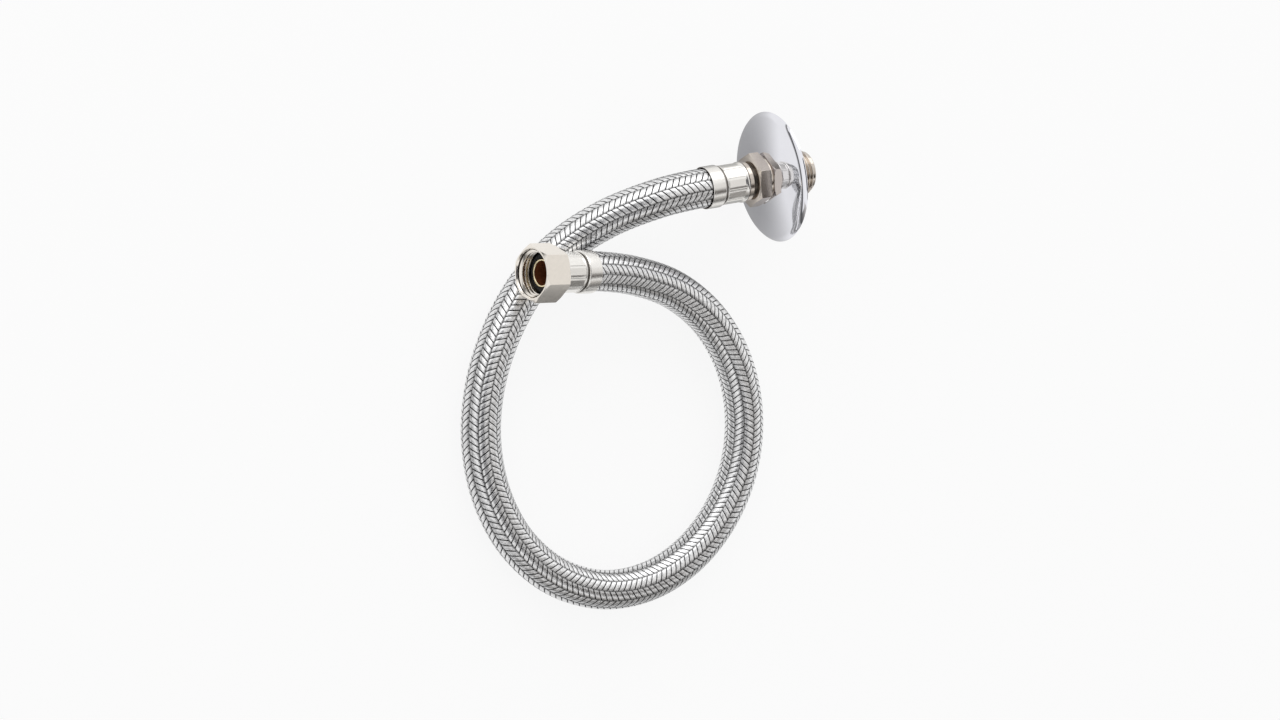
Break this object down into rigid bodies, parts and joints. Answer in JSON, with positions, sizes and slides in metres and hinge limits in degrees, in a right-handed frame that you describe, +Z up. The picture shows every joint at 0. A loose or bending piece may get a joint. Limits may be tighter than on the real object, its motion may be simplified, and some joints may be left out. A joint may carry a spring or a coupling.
{
  "type": "braided supply hose",
  "caption": "Short braided supply hose lying in a loop, with a union nut at the tap end and a threaded wall fitting behind a chrome wall plate at the other.",
  "frame": {"origin": "on the floor under the middle of the wall end, halfway between the mouth of its ferrule and the end of its thread", "axes": "+X along the wall fitting towards its thread, +Y away from the loop, +Z up"},
  "size_m": [0.1834, 0.213, 0.06],
  "materials": {
    "pressed_steel": "thin stainless sheet, pressed and crimped, bright",
    "nickel_plate": "nickel plate over machined brass, satin and slightly warm",
    "chrome_plate": "mirror-bright plated dome",
    "bare_brass": "pale turned brass",
    "steel_braid": "woven bundles of thin bright stainless wire",
    "black_rubber": "matte black"
  },
  "bodies": {
    "hose": {"wall_ferrule": "pressed_steel", "wall_nipple": "nickel_plate", "tap_ferrule": "pressed_steel", "tap_stem": "bare_brass", "sealing_washer": "black_rubber", "hose_braid": "steel_braid", "hose_liner": "black_rubber"},
    "nut": {"union_nut": "nickel_plate"},
    "plate": {"wall_plate": "chrome_plate"}
  },
  "joints": [
    {"name": "union_nut_spin", "type": "hinge", "parent": "hose", "child": "nut", "pos_m": [-0.11538, -0.02541, 0.03256], "axis": [-0.9722, 0.1228, 0.1994], "continuous": true},
    {"name": "wall_plate_slide", "type": "slide", "parent": "hose", "child": "plate", "axis": [1, 0, 0], "range_m": [-0.0005, 0.012]}
  ]
}
